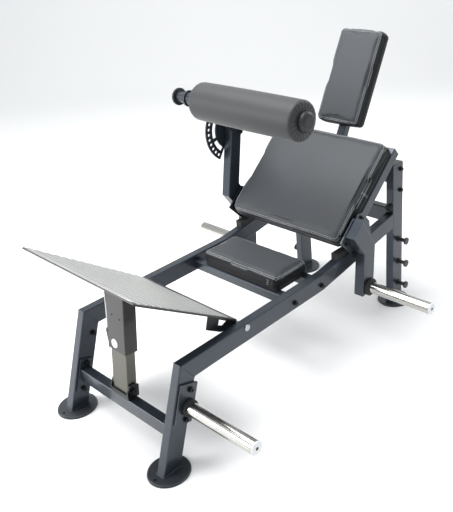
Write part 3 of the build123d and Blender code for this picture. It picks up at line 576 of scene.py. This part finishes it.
def upright_caps():
    """Bevelled cap on top of each rear upright."""
    mesh = bmesh.new()
    for node in ("rear_upright_left", "rear_upright_right"):
        low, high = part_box(node)
        top = high.z
        rings = []
        for inset, lift in ((0.0010, 0.0), (0.0010, 0.0016), (0.0030, 0.0028), (0.0080, 0.0030)):
            loop = ring((high.x - low.x) / 2 - inset, (high.y - low.y) / 2 - inset, 0.005, steps=5)
            middle = (low + high) / 2
            rings.append([mesh.verts.new((middle.x + x, middle.y + y, top + lift)) for x, y in loop])
        skin(mesh, rings)
    thing_from("upright_caps", mesh, "frame", SLEEVE)


upright_caps()


def strut_trim():
    """Blank badge and two small screws on the front of the footplate strut's sleeve."""
    lean = radians(STRUT_LEAN)
    along, front = Vector((0, sin(lean), cos(lean))), Vector((0, -cos(lean), sin(lean)))
    values = [v.co for v in NODES["strut_sleeve"].data.vertices]
    face = max(v.dot(front) for v in values)
    low = min(v.dot(along) for v in values)

    def disc(mesh, x, height, radius, lift):
        centre = Vector((x, 0, 0)) + along * (low + height) + front * face
        rings = []
        for away, size in ((-0.0004, 1.0), (lift, 1.0), (lift + 0.0004, 0.9), (lift + 0.0004, 0.4)):
            spokes = [Vector((1, 0, 0)) * cos(a) + along * sin(a) for a in (k * tau / 36 for k in range(36))]
            rings.append([mesh.verts.new(centre + front * away + spoke * radius * size) for spoke in spokes])
        skin(mesh, rings)

    badge = bmesh.new()
    disc(badge, -0.010, 0.028, 0.018, 0.0010)
    thing_from("blank_badge", badge, "strut_sleeve", WHITE)
    screws = bmesh.new()
    for x, height in ((-0.020, 0.142), (0.026, 0.136)):
        disc(screws, x, height, 0.0035, 0.0010)
    thing_from("sleeve_screws", screws, "strut_sleeve", BLACK_STEEL)


strut_trim()


def mitre_welds():
    """Weld line round the mitre between each front leg and its rail."""
    mesh = bmesh.new()
    for node, other in (("front_leg_left", "seat_rail_left"), ("front_leg_right", "seat_rail_right")):
        low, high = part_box(node)
        rail_low, rail_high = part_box(other)
        top_front = (rail_low.y, rail_high.z)
        bottom = (max(v.co.y for v in NODES[node].data.vertices), rail_low.z)
        corners = ((low.x, top_front), (high.x, top_front), (high.x, bottom), (low.x, bottom))
        weld_loop(mesh, [Vector((x, y, z)) for x, (y, z) in corners], radius=0.0011)
    thing_from("mitre_welds", mesh, "frame", WELD)


mitre_welds()


# ---- studio -----------------------------------------------------------------------------
FLOOR = material("pale_floor", (0.96, 0.96, 0.955), 0.8, variation=0.01, scale=30.0, bump=0.02)
SWEEP_R = 2.0
AZIMUTH, PITCH, ROLL = radians(41.6), radians(25.6), radians(-3.12)
CAMERA_PLACE = (1.904, -1.809, 1.819)
LENS, SHIFT = 48.2, (-0.151, -0.057)
LIGHTS = (("overhead", (-0.8, -0.4, 3.4), (0, 0, 0.4), 2.4, 125),
          ("key", (-2.2, -3.4, 1.8), (0, -0.3, 0.4), 1.8, 120),
          ("rear_fill", (0.6, 3.2, 2.4), (0, 0.1, 0.6), 1.8, 30))


def sweep_profile(start, wall):
    """Floor from in front of the camera, then a quarter turn up into a wall."""
    points = [(-start, 0.0), (wall, 0.0)]
    points += [(wall + SWEEP_R * sin(k * pi / 24), SWEEP_R * (1 - cos(k * pi / 24))) for k in range(1, 13)]
    return points + [(wall + SWEEP_R, 9.0)]


floor_mesh = bmesh.new()
away = Vector((-sin(AZIMUTH), cos(AZIMUTH), 0))
sideways = Vector((away.y, -away.x, 0))
edges = [[floor_mesh.verts.new(away * run + sideways * reach + Vector((0, 0, rise))) for reach in (-14, 14)]
         for run, rise in sweep_profile(9.0, 4.5)]
for first, second in zip(edges, edges[1:]):
    floor_mesh.faces.new((first[0], first[1], second[1], second[0]))
for face in floor_mesh.faces:
    face.smooth = True
floor_data = bpy.data.meshes.new("floor")
floor_mesh.to_mesh(floor_data)
floor_mesh.free()
floor_data.materials.append(FLOOR)
floor = bpy.data.objects.new("floor", floor_data)
SCENE.collection.objects.link(floor)

world = bpy.data.worlds.new("studio")
world.use_nodes = True
world.node_tree.nodes["Background"].inputs["Color"].default_value = (0.94, 0.97, 1.0, 1)
world.node_tree.nodes["Background"].inputs["Strength"].default_value = 0.72
SCENE.world = world
SCENE.view_settings.view_transform = "Standard"


def area_light(name, place, target, size, energy):
    """Square soft light that points at a target."""
    light = bpy.data.lights.new(name, "AREA")
    light.size = size
    light.energy = energy
    lamp = bpy.data.objects.new(name, light)
    lamp.location = place
    lamp.rotation_mode = "QUATERNION"
    lamp.rotation_quaternion = (Vector(target) - Vector(place)).to_track_quat("-Z", "Y")
    SCENE.collection.objects.link(lamp)


for light in LIGHTS:
    area_light(*light)

forward = Vector((-sin(AZIMUTH) * cos(PITCH), cos(AZIMUTH) * cos(PITCH), -sin(PITCH)))
level = Vector((cos(AZIMUTH), sin(AZIMUTH), 0))
upward = level.cross(forward)
right = level * cos(ROLL) + upward * sin(ROLL)
top = upward * cos(ROLL) - level * sin(ROLL)
lens = bpy.data.cameras.new("camera")
lens.sensor_width = 36
lens.lens = LENS
lens.shift_x, lens.shift_y = SHIFT
camera = bpy.data.objects.new("camera", lens)
camera.matrix_world = Matrix((right, top, -forward)).transposed().to_4x4()
camera.location = CAMERA_PLACE
SCENE.collection.objects.link(camera)
SCENE.camera = camera
